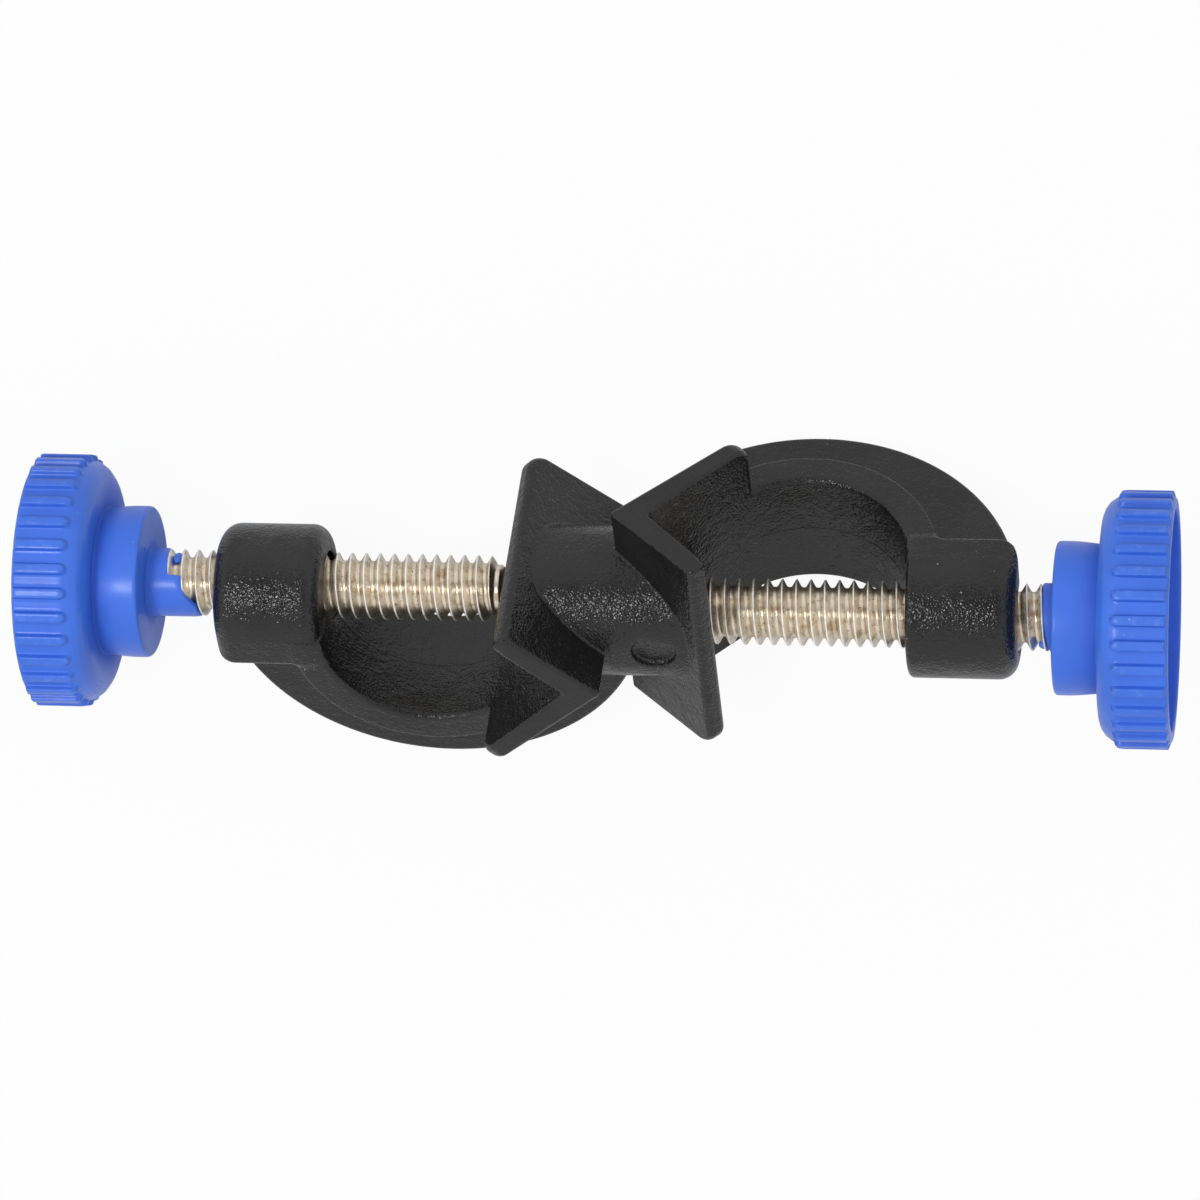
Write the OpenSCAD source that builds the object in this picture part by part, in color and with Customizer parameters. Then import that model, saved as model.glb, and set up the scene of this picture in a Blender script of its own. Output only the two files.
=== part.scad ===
// Boss head clamp: one casting with two V jaws set at right angles, each closed by a C-shaped arm,
// and two hand screws with moulded knobs that press rods into the jaws.
// It lies on the backs of its two arms, with both screws level along X.

/* [Jaws] */
// Distance from the middle of the clamp to the bottom of each V groove
jaw_seat = 4.9; // [4.5:0.1:6.5]
// Thickness of the jaw plates
jaw_wall = 3; // [2.4:0.1:3.4]
// Length of each jaw along its groove
jaw_length = 29.9; // [24:0.1:36]
// Depth of the groove on its free side
free_reach = 7.6; // [6.6:0.1:9.2]
// Depth of the groove on the side of the arm
arm_reach = 10.5; // [8.8:0.1:10.6]
// Rounding of the jaw plates' outer corners
jaw_corner = 1.5; // [0.6:0.1:3]
// Rounding of the edges at the jaw plates' tips
tip_edge = 0.9; // [0.3:0.1:1.1]

/* [Neck] */
// Diameter of the neck between the two jaws
neck_d = 18; // [14:0.5:19]
// Diameter of the round pin mark sunk in the neck
mark_d = 5.4; // [3:0.1:6]
// Depth of the mark's middle below the neck's crest
mark_depth = 1.1; // [0.6:0.1:1.4]
// Slope of the mark's floor
mark_tilt = 10; // [0:1:15]
// Distance of the mark from the middle of the clamp
mark_x = 5.3; // [4:0.1:6]
// Distance of the mark from the neck's crest line
mark_side = 0.3; // [0:0.1:1.5]

/* [Arms] */
// Inner radius of the arm's curve
arm_r = 12.8; // [10.7:0.1:16]
// How deep the arm's inner face cuts into the rounded edge of the jaw plate that it meets
arm_bite = 0.2; // [0.1:0.05:0.4]
// Thickness of the arm's inner flange
flange_wall = 3.5; // [2.5:0.1:4.5]
// Step from the round boss in to each side of the flange
flange_step = 0.2; // [0.1:0.1:1]
// Distance of the rib's end behind the boss's outer face
rib_inset = 0.3; // [0.2:0.1:2]
// Thickness of the rib
rib_w = 5; // [3.5:0.1:7]
// Rounding of the arm's long edges
arm_edge = 0.6; // [0.3:0.1:1.2]

/* [Bosses] */
// Diameter of the round boss that carries each screw
boss_d = 17; // [15:0.1:20]
// Length of the boss
boss_length = 13.4; // [11:0.1:16]
// How far the boss stands in past the arm's inner face
boss_stand = 0.4; // [0.2:0.1:1.5]
// Rounding of the boss's edges
boss_edge = 1.6; // [0.5:0.1:2.5]
// Height of the boss's straight sides, from its centre line towards the arm
boss_rise = 3.8; // [1:0.1:4]
// Distance of the screw's hole from the boss's centre, along the groove
hole_offset = 1.5; // [0:0.1:2.2]

/* [Screws] */
// Outer diameter of the thread
thread_d = 8; // [6:0.5:9]
// Radial clearance between the screw and its hole
thread_gap = 0.05; // [0.02:0.01:0.1]
// Gap left between the boss and the hub when the point meets the groove
stop_gap = 2.9; // [2.4:0.1:6]
// Step from the thread's crests down to the plain point
point_step = 1.1; // [0.5:0.1:1.5]
// Length of the plain point, with its chamfer
point_length = 1.6; // [1:0.1:2]
// Chamfer between the thread and the point
point_chamfer = 0.7; // [0.3:0.1:0.9]
// Step from the thread's crests down to the shank inside the knob
shank_step = 0.75; // [0.5:0.05:1.2]
// Length of the shank inside the knob
shank_length = 6.8; // [5:0.1:7.2]

/* [Knobs] */
// Diameter of the knob's rim without its ribs
rim_d = 29.6; // [26:0.1:36]
// Length of the knob, from the face of its hub to the edge of its rim
knob_length = 14.1; // [12.5:0.1:18]
// Diameter of the hub
hub_d = 18.4; // [14:0.1:20]
// Length of the hub
hub_length = 5.2; // [3:0.1:6]
// Rounding of the rim's shoulder
shoulder_r = 2.7; // [1:0.1:3]
// Rounding of the rim's outer edge
lip_r = 0.7; // [0.3:0.1:0.8]
// Thickness of the rim's wall
rim_wall = 1.5; // [1.5:0.1:2.5]
// Thickness of the knob's web behind the end of the shank
web_wall = 1.15; // [0.8:0.05:2]
// Number of grip ribs
rib_count = 32; // [16:1:40]
// Width of each grip rib
grip_w = 1.3; // [0.8:0.1:1.5]
// Height of each grip rib
grip_rise = 0.45; // [0.2:0.05:0.8]
// How far the grip ribs run onto the rim's shoulder
grip_run = 0.4; // [0:0.1:0.6]
// Distance from the edge of the rim to the grip ribs
grip_inset = 0.7; // [0.7:0.1:1.2]
// Height of the plastic collar above the thread's crests
collar_rise = 0.15; // [0.1:0.05:1]
// Length of the plastic collar
collar_length = 2.2; // [1:0.1:3]
// Clearance between the shank and the knob
shank_gap = 0.05; // [0.02:0.01:0.1]

/* [Positions] */
// Distance from the left boss to the left knob's hub
left_gap = 9.1; // [6.8:0.1:30]
// Distance from the right boss to the right knob's hub
right_gap = 4.3; // [3.2:0.1:30]

/* [Hidden] */
$fn = 96;
half = sqrt(0.5);
past = 1;
// The arm's inner face meets the rounded edge of the jaw plate that it carries
tip_x = jaw_seat + arm_reach - tip_edge / half;
tip_span = arm_r + tip_edge - arm_bite;
arm_centre = tip_x + sqrt(tip_span * tip_span - arm_reach * arm_reach);
boss_start = arm_centre + arm_r - boss_stand;
boss_end = boss_start + boss_length;
rib_r = boss_end - rib_inset - arm_centre;
flange_w = boss_d - 2 * flange_step;
groove_back = jaw_seat - jaw_wall / (2 * half);
point_d = thread_d - 2 * point_step;
shank_d = thread_d - 2 * shank_step;
collar_d = thread_d + 2 * collar_rise;
// The point meets the groove when the hub is a stop_gap away from the boss
thread_length = boss_end + stop_gap - jaw_seat - point_d / 2 - point_length;
hollow_d = rim_d - 2 * rim_wall;
hollow_depth = knob_length - shank_length - shank_gap - web_wall;
grip_length = knob_length - grip_inset - hub_length - shoulder_r + grip_run;
// Lowest points of the ribs' rounded edges and of the jaw plates' corners
rib_low = half * (rib_r + rib_w / 2) - arm_edge * (1 / half - 1);
jaw_low = half * (arm_reach + half * jaw_wall + jaw_length / 2);
lift = max(rib_low, jaw_low);
// The origin is under the middle of the overall length
shift = (left_gap - right_gap) / 2;

// The working frame of one side: x out along the screw, y towards the arm, z along the groove
module on_right() {
    translate([shift, 0, lift]) rotate([-45, 0, 0]) children();
}

module on_left() {
    translate([shift, 0, lift]) rotate([0, 0, 180]) rotate([-45, 0, 0]) children();
}

module along_x() {
    rotate([0, 90, 0]) children();
}

// Cross-section of one jaw plate, lying along x with its groove side down
module plate_section(reach) {
    long = reach / half;
    translate([-jaw_wall, 0]) square([long + jaw_wall - tip_edge, jaw_wall]);
    translate([long - tip_edge - past, tip_edge]) square([tip_edge + past, jaw_wall - 2 * tip_edge]);
    for (y = [tip_edge, jaw_wall - tip_edge]) translate([long - tip_edge, y]) circle(r = tip_edge);
}

// Outline of one jaw plate seen square on, with its two outer corners rounded
module plate_outline(reach) {
    long = reach / half;
    side = jaw_length / 2;
    translate([-past - jaw_wall, -side]) square([long + past + jaw_wall - jaw_corner, 2 * side]);
    translate([long - jaw_corner - past, jaw_corner - side])
        square([jaw_corner + past, 2 * (side - jaw_corner)]);
    for (z = [-1, 1]) translate([long - jaw_corner, z * (side - jaw_corner)]) circle(r = jaw_corner);
}

module jaw_plate(reach) {
    translate([jaw_seat, 0, 0]) rotate([0, 0, 45]) intersection() {
        linear_extrude(height = jaw_length, center = true) plate_section(reach);
        translate([0, jaw_wall + past, 0]) rotate([90, 0, 0])
            linear_extrude(height = jaw_wall + 2 * past) plate_outline(reach);
    }
}

module jaw() {
    jaw_plate(arm_reach);
    mirror([0, 1, 0]) jaw_plate(free_reach);
}

// The space that a jaw keeps free for its rod
module groove_space(bottom) {
    out = jaw_seat + arm_reach;
    linear_extrude(height = 2 * jaw_length, center = true)
        polygon([[bottom, 0], [out, out - bottom], [out, bottom - out]]);
}

module neck() {
    difference() {
        along_x() cylinder(d = neck_d, h = 2 * (jaw_seat + free_reach), center = true);
        rotate([-45, 0, 0]) groove_space((jaw_seat + groove_back) / 2);
        rotate([0, 0, 180]) rotate([-45, 0, 0]) groove_space((jaw_seat + groove_back) / 2);
    }
}

module pin_mark() {
    translate([-mark_x, -mark_side, neck_d / 2 - mark_depth]) rotate([-mark_tilt, 0, 0])
        cylinder(d = mark_d, h = neck_d / 2);
}

module rounded_box(w, h, r) {
    translate([r, 0]) square([w - 2 * r, h]);
    translate([0, r]) square([w, h - 2 * r]);
    for (x = [r, w - r], y = [r, h - r]) translate([x, y]) circle(r = r);
}

module arm_section() {
    translate([arm_r, -flange_w / 2]) rounded_box(flange_wall, flange_w, arm_edge);
    translate([arm_r + arm_edge, -rib_w / 2]) rounded_box(rib_r - arm_r - arm_edge, rib_w, arm_edge);
}

module arm() {
    difference() {
        translate([arm_centre, 0, 0]) rotate_extrude(angle = 180) arm_section();
        groove_space(jaw_seat);
    }
}

// Round away from the arm, with straight sides towards it
module boss() {
    translate([boss_start, 0, 0]) {
        along_x() rotate_extrude() {
            square([boss_d / 2 - boss_edge, boss_length]);
            translate([0, boss_edge]) square([boss_d / 2, boss_length - 2 * boss_edge]);
            for (y = [boss_edge, boss_length - boss_edge])
                translate([boss_d / 2 - boss_edge, y]) circle(r = boss_edge);
        }
        rotate([-90, 0, 0]) linear_extrude(height = boss_rise)
            translate([0, -boss_d / 2]) rounded_box(boss_length, boss_d, boss_edge);
    }
}

module screw_hole() {
    translate([boss_start - past, 0, -hole_offset])
        along_x() cylinder(d = thread_d + 2 * thread_gap, h = boss_length + 2 * past);
}

module half_body() {
    jaw();
    difference() {
        union() {
            arm();
            boss();
        }
        screw_hole();
    }
}

module clamp_body() {
    color("#29292c") union() {
        difference() {
            translate([shift, 0, lift]) neck();
            on_left() pin_mark();
        }
        on_left() half_body();
        on_right() half_body();
    }
}

// A screw and a knob are drawn along x from the face of the knob's hub
module at_hub(gap) {
    translate([boss_end + gap, 0, -hole_offset]) children();
}

module screw() {
    color("#c9bca6") along_x() rotate_extrude() polygon([
        [0, -thread_length - point_length],
        [point_d / 2, -thread_length - point_length],
        [point_d / 2, -thread_length - point_chamfer],
        [thread_d / 2, -thread_length],
        [thread_d / 2, -collar_length],
        [shank_d / 2, -collar_length],
        [shank_d / 2, shank_length],
        [0, shank_length]
    ]);
}

module knob_section() {
    difference() {
        union() {
            translate([0, -collar_length + shank_gap])
                square([collar_d / 2, collar_length + past]);
            square([hub_d / 2, hub_length + past]);
            translate([0, hub_length + shoulder_r])
                square([rim_d / 2, knob_length - hub_length - shoulder_r - lip_r]);
            translate([0, hub_length]) square([rim_d / 2 - shoulder_r, shoulder_r + past]);
            translate([rim_d / 2 - shoulder_r, hub_length + shoulder_r]) circle(r = shoulder_r);
            translate([0, knob_length - lip_r - past]) square([rim_d / 2 - lip_r, lip_r + past]);
            translate([rim_d / 2 - lip_r, knob_length - lip_r]) circle(r = lip_r);
        }
        translate([0, knob_length - hollow_depth]) square([hollow_d / 2, hollow_depth + past]);
        translate([0, -collar_length - past])
            square([shank_d / 2 + shank_gap, collar_length + past + shank_length + shank_gap]);
    }
}

module grip_ribs() {
    foot = 0.5;
    for (i = [0:rib_count - 1]) rotate([0, 0, 360 * i / rib_count])
        translate([rim_d / 2 - foot, -grip_w / 2, knob_length - grip_inset - grip_length])
            cube([foot + grip_rise, grip_w, grip_length]);
}

module knob() {
    color("#3f74d8") along_x() union() {
        rotate_extrude() knob_section();
        grip_ribs();
    }
}

module left_screw() {
    on_left() at_hub(left_gap) screw();
}

module left_knob() {
    on_left() at_hub(left_gap) knob();
}

module right_screw() {
    on_right() at_hub(right_gap) screw();
}

module right_knob() {
    on_right() at_hub(right_gap) knob();
}

clamp_body();
left_screw();
left_knob();
right_screw();
right_knob();
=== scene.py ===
"""Looks of a boss head clamp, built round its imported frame: the black coated casting, the two nickel
plated hand screws and the blue knobs moulded onto them.

Shapes are worked out in millimetres and put into the meshes in metres."""

import math
from types import SimpleNamespace

import bmesh
import bpy
import numpy as np
from bpy.props import FloatProperty, FloatVectorProperty, IntProperty, PointerProperty
from mathutils import Matrix, Vector


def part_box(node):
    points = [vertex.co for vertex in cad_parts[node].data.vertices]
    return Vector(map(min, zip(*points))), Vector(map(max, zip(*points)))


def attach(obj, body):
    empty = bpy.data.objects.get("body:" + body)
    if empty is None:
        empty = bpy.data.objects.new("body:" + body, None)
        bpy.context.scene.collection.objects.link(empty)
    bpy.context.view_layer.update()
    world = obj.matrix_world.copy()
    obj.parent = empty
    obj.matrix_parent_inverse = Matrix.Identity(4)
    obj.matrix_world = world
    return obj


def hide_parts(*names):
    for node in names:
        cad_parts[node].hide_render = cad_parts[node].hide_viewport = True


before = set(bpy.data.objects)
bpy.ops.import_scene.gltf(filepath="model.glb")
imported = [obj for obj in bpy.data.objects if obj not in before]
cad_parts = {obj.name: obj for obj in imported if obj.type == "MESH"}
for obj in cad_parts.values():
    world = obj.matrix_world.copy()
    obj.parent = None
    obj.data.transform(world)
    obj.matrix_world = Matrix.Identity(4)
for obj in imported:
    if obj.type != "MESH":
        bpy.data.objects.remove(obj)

bl_info = {
    "name": "Boss head clamp",
    "version": (1, 0, 0),
    "blender": (4, 5, 0),
    "location": "View3D > Sidebar > Boss head",
    "description": "Builds a boss head clamp with its coated casting, hand screws and moulded knobs",
    "category": "Object",
}

MM = 1000.0
HALF = math.sqrt(0.5)
TURN = 2 * math.pi
SIDES = ("left", "right")
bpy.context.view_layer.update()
# Most triangles that the casting's skin may keep
MOST_TRIANGLES = 190000

casting_low, casting_high = (MM * np.array(corner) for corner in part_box("clamp_body"))
# The neck's middle: the casting turns onto itself by half a turn about the upright line through it,
# and its arms reach as far down as they reach to the side
NECK = np.array([(casting_low[0] + casting_high[0]) / 2, 0.0, casting_high[1]])
BOSS_END = (casting_high[0] - casting_low[0]) / 2


def length(label, about, mm):
    return FloatProperty(name=label, description=about, default=mm / MM, precision=5, unit="LENGTH")


def angle(label, about, degrees):
    return FloatProperty(name=label, description=about, default=math.radians(degrees), unit="ROTATION")


def share(label, about, default):
    return FloatProperty(
        name=label, description=about, default=default, min=0.0, max=1.0, subtype="FACTOR"
    )


def colour(label, about, default):
    return FloatVectorProperty(
        name=label, description=about, default=default, size=3, min=0.0, max=1.0, subtype="COLOR"
    )


class CastingSettings(bpy.types.PropertyGroup):
    """Sizes and finish of the casting"""

    jaw_seat: length("Jaw seat", "From the clamp's middle to the bottom of each groove", 5.0)
    jaw_wall: length("Jaw wall", "Thickness of the jaw plates at the bottom of the groove", 3.15)
    jaw_taper: angle("Jaw taper", "How fast the jaw plates get thinner towards their tips", 2.8)
    jaw_length: length("Jaw length", "Length of each jaw along its groove", 31.0)
    free_reach: length("Free reach", "Depth of the groove on its free side", 7.95)
    arm_reach: length("Arm reach", "Depth of the groove on the side of the arm", 11.1)
    jaw_corner: length("Jaw corner", "Rounding of the jaw plates' outer corners", 2.2)
    near_corner: length("Near corner", "Rounding of the free plates' corners on the upper side", 0.5)
    tip_edge: length("Tip edge", "Rounding of the edges at the jaw plates' tips", 1.0)
    crisp_edge: length("Crisp edge", "Rounding of the jaw plates' other edges", 0.55)
    neck_d: length("Neck", "Diameter of the neck", 18.0)
    neck_flat: length("Neck flat", "From the neck's axis to its flattened sides, at the middle", 9.15)
    neck_taper: angle("Neck taper", "Slope of the flattened sides towards each jaw", 5.7)
    neck_edge: length("Neck edge", "Rounding between the neck and its flattened sides", 1.0)
    mark_d: length("Mark", "Diameter of the round pin mark sunk in the neck", 5.4)
    mark_depth: length("Mark depth", "Depth of the mark's middle below the neck's crest", 0.95)
    mark_tilt: angle("Mark tilt", "Slope of the mark's floor", 10.0)
    mark_rim: length("Mark rim", "Rounding of the mark's rim", 0.2)
    mark_corner: length("Mark corner", "Rounding round the mark's floor", 0.4)
    mark_x: length("Mark place", "From the clamp's middle to the mark", 5.3)
    mark_side: length("Mark side", "From the neck's crest line to the mark", 0.3)
    arm_r: length("Arm curve", "Inner radius of the arm's curve, at its middle", 12.45)
    flange_r: length("Flange curve", "Outer radius of the arm's inner flange", 16.45)
    flange_w: length("Flange width", "Width of the arm's inner flange", 16.6)
    flange_lip: length("Flange lip", "How much wider its lower side is, away from the boss", 0.5)
    flange_tuck: length("Flange tuck", "How much narrower its lower side is, level with the screw", 2.2)
    flange_inner: length("Flange inner edge", "Rounding of the flange's inner edges", 0.8)
    flange_outer: length("Flange outer edge", "Rounding of the flange's outer edges", 0.3)
    rib_r: length("Rib curve", "Outer radius of the rib round the arm", 25.5)
    rib_inset: length("Rib inset", "From the boss's outer face in to the rib's end", 0.3)
    rib_w: length("Rib width", "Thickness of the rib round the arm", 5.0)
    rib_edge: length("Rib edge", "Rounding of the rib's long edges", 0.6)
    rib_fillet: length("Rib fillet", "Blend between the rib and the flange", 1.1)
    draft: angle("Draft", "Slope of the flange's inner face away from the parting line", 1.0)
    boss_d: length("Boss", "Width of the boss", 17.0)
    boss_length: length("Boss length", "Length of the boss", 13.0)
    boss_rise: length("Boss rise", "Height of the boss's straight sides", 3.8)
    boss_top: length("Boss top edge", "Rounding of the boss's straight edges", 0.8)
    boss_outer: length("Boss outer edge", "Rounding of the boss's edge at the knob", 2.3)
    left_inner: length("Left inner edge", "Rounding of the left boss's edge at the jaw", 2.0)
    right_inner: length("Right inner edge", "Rounding of the right boss's edge at the jaw", 0.7)
    hole_d: length("Hole", "Diameter of the screw's hole", 8.1)
    hole_edge: length("Hole edge", "Rounding of the hole's edges", 0.55)
    hole_offset: length("Hole offset", "From the boss's centre to the hole, along the groove", 1.5)
    fillet: length("Fillet", "Blend between the arm and its boss", 0.7)
    seam_fillet: length("Seam fillet", "Blend between the arm and its jaw", 0.12)
    neck_fillet: length("Neck fillet", "Blend between the neck and the jaws", 0.25)
    cell: length("Cell", "Spacing of the net that the skin is drawn on", 0.28)
    black: colour("Black", "Colour of the coating", (0.0095, 0.0095, 0.0098))
    # The worn colour on the edges is partly rubbed coating and partly a painted highlight
    worn_and_highlight: colour("Worn", "Colour of the coating where its edges are rubbed", (0.07, 0.068, 0.066))
    speck: colour("Speck", "Colour of the pale specks in the coating", (0.35, 0.34, 0.32))


class ScrewSettings(bpy.types.PropertyGroup):
    """Sizes and finish of the two hand screws"""

    pitch: length("Pitch", "Travel of the screw in one turn", 1.725)
    thread_d: length("Thread", "Outer diameter of the thread", 8.0)
    depth: length("Depth", "Depth of the thread", 0.95)
    crest: length("Crest", "Width of the thread's crest", 0.15)
    root: length("Root", "Depth over which the thread's root is rounded", 0.22)
    point_d: length("Point", "Diameter of the plain point", 5.8)
    point_length: length("Point length", "Length of the plain point, with its chamfer", 1.6)
    point_chamfer: length("Point chamfer", "Chamfer between the thread and the point", 0.7)
    point_edge: length("Point edge", "Chamfer at the very end of the point", 0.3)
    shank_d: length("Shank", "Diameter of the shank inside the knob", 6.4)
    left_phase: angle("Left phase", "Where the left thread starts", 219.0)
    right_phase: angle("Right phase", "Where the right thread starts", -63.0)
    nickel: colour("Nickel", "Colour of the plating", (0.88, 0.83, 0.73))
    tarnish: colour("Tarnish", "Colour of the plating where it is dull and brown", (0.48, 0.37, 0.25))
    # The rubbed colour on the crests is partly wear and partly a painted highlight
    rubbed: colour("Rubbed", "Colour of the thread's crests where they are rubbed", (0.95, 0.92, 0.86))
    pit: colour("Pit", "Colour of the small pits in the plating", (0.05, 0.04, 0.03))


class KnobSettings(bpy.types.PropertyGroup):
    """Sizes and finish of the two knobs"""

    rim_d: length("Rim", "Diameter of the rim without its ribs", 29.6)
    knob_length: length("Length", "From the face of the hub to the edge of the rim", 14.1)
    hub_d: length("Hub", "Diameter of the hub at its face", 18.4)
    hub_taper: length("Hub taper", "How much thinner the hub is at its root, in radius", 0.3)
    hub_length: length("Hub length", "Length of the hub", 5.5)
    hub_edge: length("Hub edge", "Rounding of the hub's edge", 0.45)
    hub_root: length("Hub root", "Fillet between the hub and the rim", 0.12)
    crown: length("Crown", "How much the hub swells where it is widest, in radius", 0.05)
    crown_r: length("Crown curve", "Radius of the swelling along the hub", 22.0)
    crown_place: share("Crown place", "Part of the hub's length from its face to its widest place", 0.42)
    shoulder_r: length("Shoulder", "Rounding of the rim's shoulder", 2.8)
    lip_r: length("Lip", "Rounding of the rim's outer edge", 0.5)
    rim_wall: length("Rim wall", "Thickness of the rim's wall", 1.5)
    cup_depth: length("Cup", "Depth of the hollow behind the knob", 6.1)
    cup_corner: length("Cup corner", "Rounding round the bottom of the hollow", 1.0)
    bore_depth: length("Bore", "How deep the screw's shank sits", 6.85)
    bore_d: length("Bore width", "Diameter of the bore round the shank", 6.6)
    collar_d: length("Collar", "Diameter of the collar of plastic round the thread", 8.3)
    collar_edge: length("Collar edge", "Rounding of the collar's end", 0.2)
    collar_root: length("Collar root", "Fillet between the collar and the hub", 0.25)
    rib_count: IntProperty(name="Ribs", description="Number of grip ribs", default=32, min=8, max=60)
    rib_w: length("Rib width", "Width of each grip rib", 1.3)
    rib_rise: length("Rib rise", "Height of each grip rib", 0.62)
    rib_edge: length("Rib edge", "Width over which a rib rises", 0.24)
    rib_start: length("Rib start", "From the hub's face to the ribs", 7.4)
    rib_inset: length("Rib inset", "From the edge of the rim in to the ribs", 0.3)
    left_phase: angle("Left phase", "Turn of the left knob's ribs", -3.9)
    right_phase: angle("Right phase", "Turn of the right knob's ribs", -2.1)
    blue: colour("Blue", "Colour of the plastic", (0.053, 0.182, 0.82))
    # The shaded colour is painted shade: it darkens the plastic near the hub's root, near the collar's root
    # and along the ribs' sides
    shaded: colour("Shaded", "Colour of the plastic where grime gathers", (0.012, 0.07, 0.42))
    scuffed: colour("Scuffed", "Colour of the plastic where it is rubbed", (0.24, 0.40, 0.83))
    fleck: colour("Fleck", "Colour of the pale flecks in the plastic", (0.6, 0.7, 0.95))
    # How far the painted shade reaches from the hub's root and from the collar's root
    root_painted_shade: length("Root grime", "How far grime reaches from the hub's root", 3.2)
    collar_painted_shade: length("Collar grime", "How far grime reaches from the collar's root", 1.6)


class StageSettings(bpy.types.PropertyGroup):
    """Camera and light"""

    distance: length("Distance", "From the camera to the clamp's middle", 735.0)
    yaw: angle("Yaw", "How far the camera stands towards the right knob", 8.45)
    pitch: angle("Pitch", "How far the camera stands towards the right arm", 2.6)
    roll: angle("Roll", "Turn of the camera about its own axis", 0.8)
    aim_x: length("Aim", "From the clamp's middle to the middle of the view", -2.17)
    lens: FloatProperty(
        name="Lens", description="Focal length in millimetres", default=183.1, unit="CAMERA"
    )
    sky: FloatProperty(name="Sky", description="Strength of the light from overhead", default=1.16, min=0.0)
    horizon: share("Horizon", "Strength of the light from the horizon", 0.08)
    lamp_power: FloatProperty(
        name="Lamp power", description="Power of the overhead lamp", default=1.3, min=0.0, unit="POWER"
    )
    lamp_size: length("Lamp size", "Width of the overhead lamp", 150.0)
    lamp_x: length("Lamp along", "From the origin to the lamp, along the screws", -216.0)
    lamp_y: length("Lamp across", "From the origin to the lamp, across the screws", -80.0)
    lamp_z: length("Lamp height", "Height of the lamp above the floor", 700.0)
    card_d: length("Card", "Diameter of the grey card above the camera", 1700.0)
    card_height: length("Card height", "Height of the grey card above the floor", 950.0)
    card_grey: share("Card grey", "How light the card's middle looks in reflections", 0.28)
    card_middle: share("Card middle", "Part of the card's width that is grey all over", 0.25)
    floor_grey: colour("Floor", "Colour of the floor", (0.8, 0.8, 0.8))
    floor_glow: share("Floor glow", "Part of the floor's look that is plain white to the camera", 0.94)


def sizes(settings):
    """A plain copy of a settings group, with its lengths in millimetres."""
    out = SimpleNamespace()
    for key, field in settings.bl_rna.properties.items():
        if key in ("rna_type", "name"):
            continue
        value = getattr(settings, key)
        if getattr(field, "unit", "NONE") == "LENGTH":
            value *= MM
        setattr(out, key, value)
    return out


# Meshes


def new_piece(name, points, faces, body, finish, replaces):
    """Puts points in millimetres and their faces into an object that rides on a body."""
    mesh = bpy.data.meshes.new(name)
    mesh.from_pydata(points / MM, [], faces)
    mesh.validate()
    mesh.polygons.foreach_set("use_smooth", np.ones(len(mesh.polygons), bool))
    piece = bpy.data.objects.new(name, mesh)
    bpy.context.scene.collection.objects.link(piece)
    mesh.materials.append(finish)
    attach(piece, body)
    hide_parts(replaces)
    return piece


def close_surface(piece, gap=1e-7):
    """Merges the seam and the poles of a grid, closes its ends and turns its faces outwards."""
    net = bmesh.new()
    net.from_mesh(piece.data)
    bmesh.ops.remove_doubles(net, verts=net.verts, dist=gap)
    bmesh.ops.dissolve_degenerate(net, edges=net.edges, dist=gap / 10)
    bmesh.ops.holes_fill(net, edges=[edge for edge in net.edges if edge.is_boundary], sides=0)
    bmesh.ops.recalc_face_normals(net, faces=net.faces)
    net.to_mesh(piece.data)
    net.free()


def ring_faces(rows, columns, shift=0):
    """Faces of a grid whose last column meets its first one, shift rows further on."""
    row, column = np.meshgrid(np.arange(rows - 1), np.arange(columns), indexing="ij")
    here = row * columns + column
    beside = row * columns + (column + 1) % columns + np.where(column + 1 == columns, shift * columns, 0)
    quads = np.stack([here, beside, beside + columns, here + columns], -1).reshape(-1, 4)
    return quads[quads.max(1) < rows * columns].tolist()


def rounded_line(corners, fine, arc_steps=6):
    """A line through (place, radius, step) corners, each rounded to its own radius: the arc touches both
    straight parts. The straight part up to a corner is cut into its steps. If they are long ones, it
    has a fine step at each end, so that the shading of the arcs doesn't spread along it."""
    points = np.array([corner[:2] for corner in corners], float)
    out, steps = [points[:1]], []
    for k in range(1, len(points) - 1):
        before, here, after = points[k - 1 : k + 2]
        inward = (before - here) / np.linalg.norm(before - here)
        outward = (after - here) / np.linalg.norm(after - here)
        half_angle = math.acos(np.clip(inward @ outward, -1, 1)) / 2
        reach = corners[k][2] / math.tan(half_angle)
        t = np.linspace(0, 1, arc_steps + 1)[:, None]
        start, end = here + inward * reach, here + outward * reach
        middle = here + (inward + outward) / np.linalg.norm(inward + outward) * (
            corners[k][2] / math.sin(half_angle)
        )
        chord = start + (end - start) * t - middle
        out.append(middle + chord / np.linalg.norm(chord, axis=1)[:, None] * corners[k][2])
        steps += [corners[k][3]] * (arc_steps + 1)
    out.append(points[-1:])
    steps.append(corners[-1][3])
    line = np.concatenate(out)
    dense = [line[:1]]
    for a, b, step in zip(line[:-1], line[1:], steps):
        span = np.linalg.norm(b - a)
        end = fine / span if step > fine and span > 4 * fine else 0
        count = max(1, math.ceil(span * (1 - 2 * end) / step))
        parts = np.linspace(end, 1 - end, count + 1)
        parts = np.append(parts, 1) if end else parts[1:]
        dense.append(a + (b - a) * parts[:, None])
    return np.concatenate(dense)


# Casting


def both(a, b, edge):
    """Distance to what two solids share, with a rounded edge where their faces meet."""
    return np.minimum(-edge, np.maximum(a, b)) + np.hypot(
        np.maximum(edge + a, 0), np.maximum(edge + b, 0)
    )


def join(a, b, fillet):
    """Distance to two solids together, with a fillet where their faces meet."""
    return np.maximum(fillet, np.minimum(a, b)) - np.hypot(
        np.maximum(fillet - a, 0), np.maximum(fillet - b, 0)
    )


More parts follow.
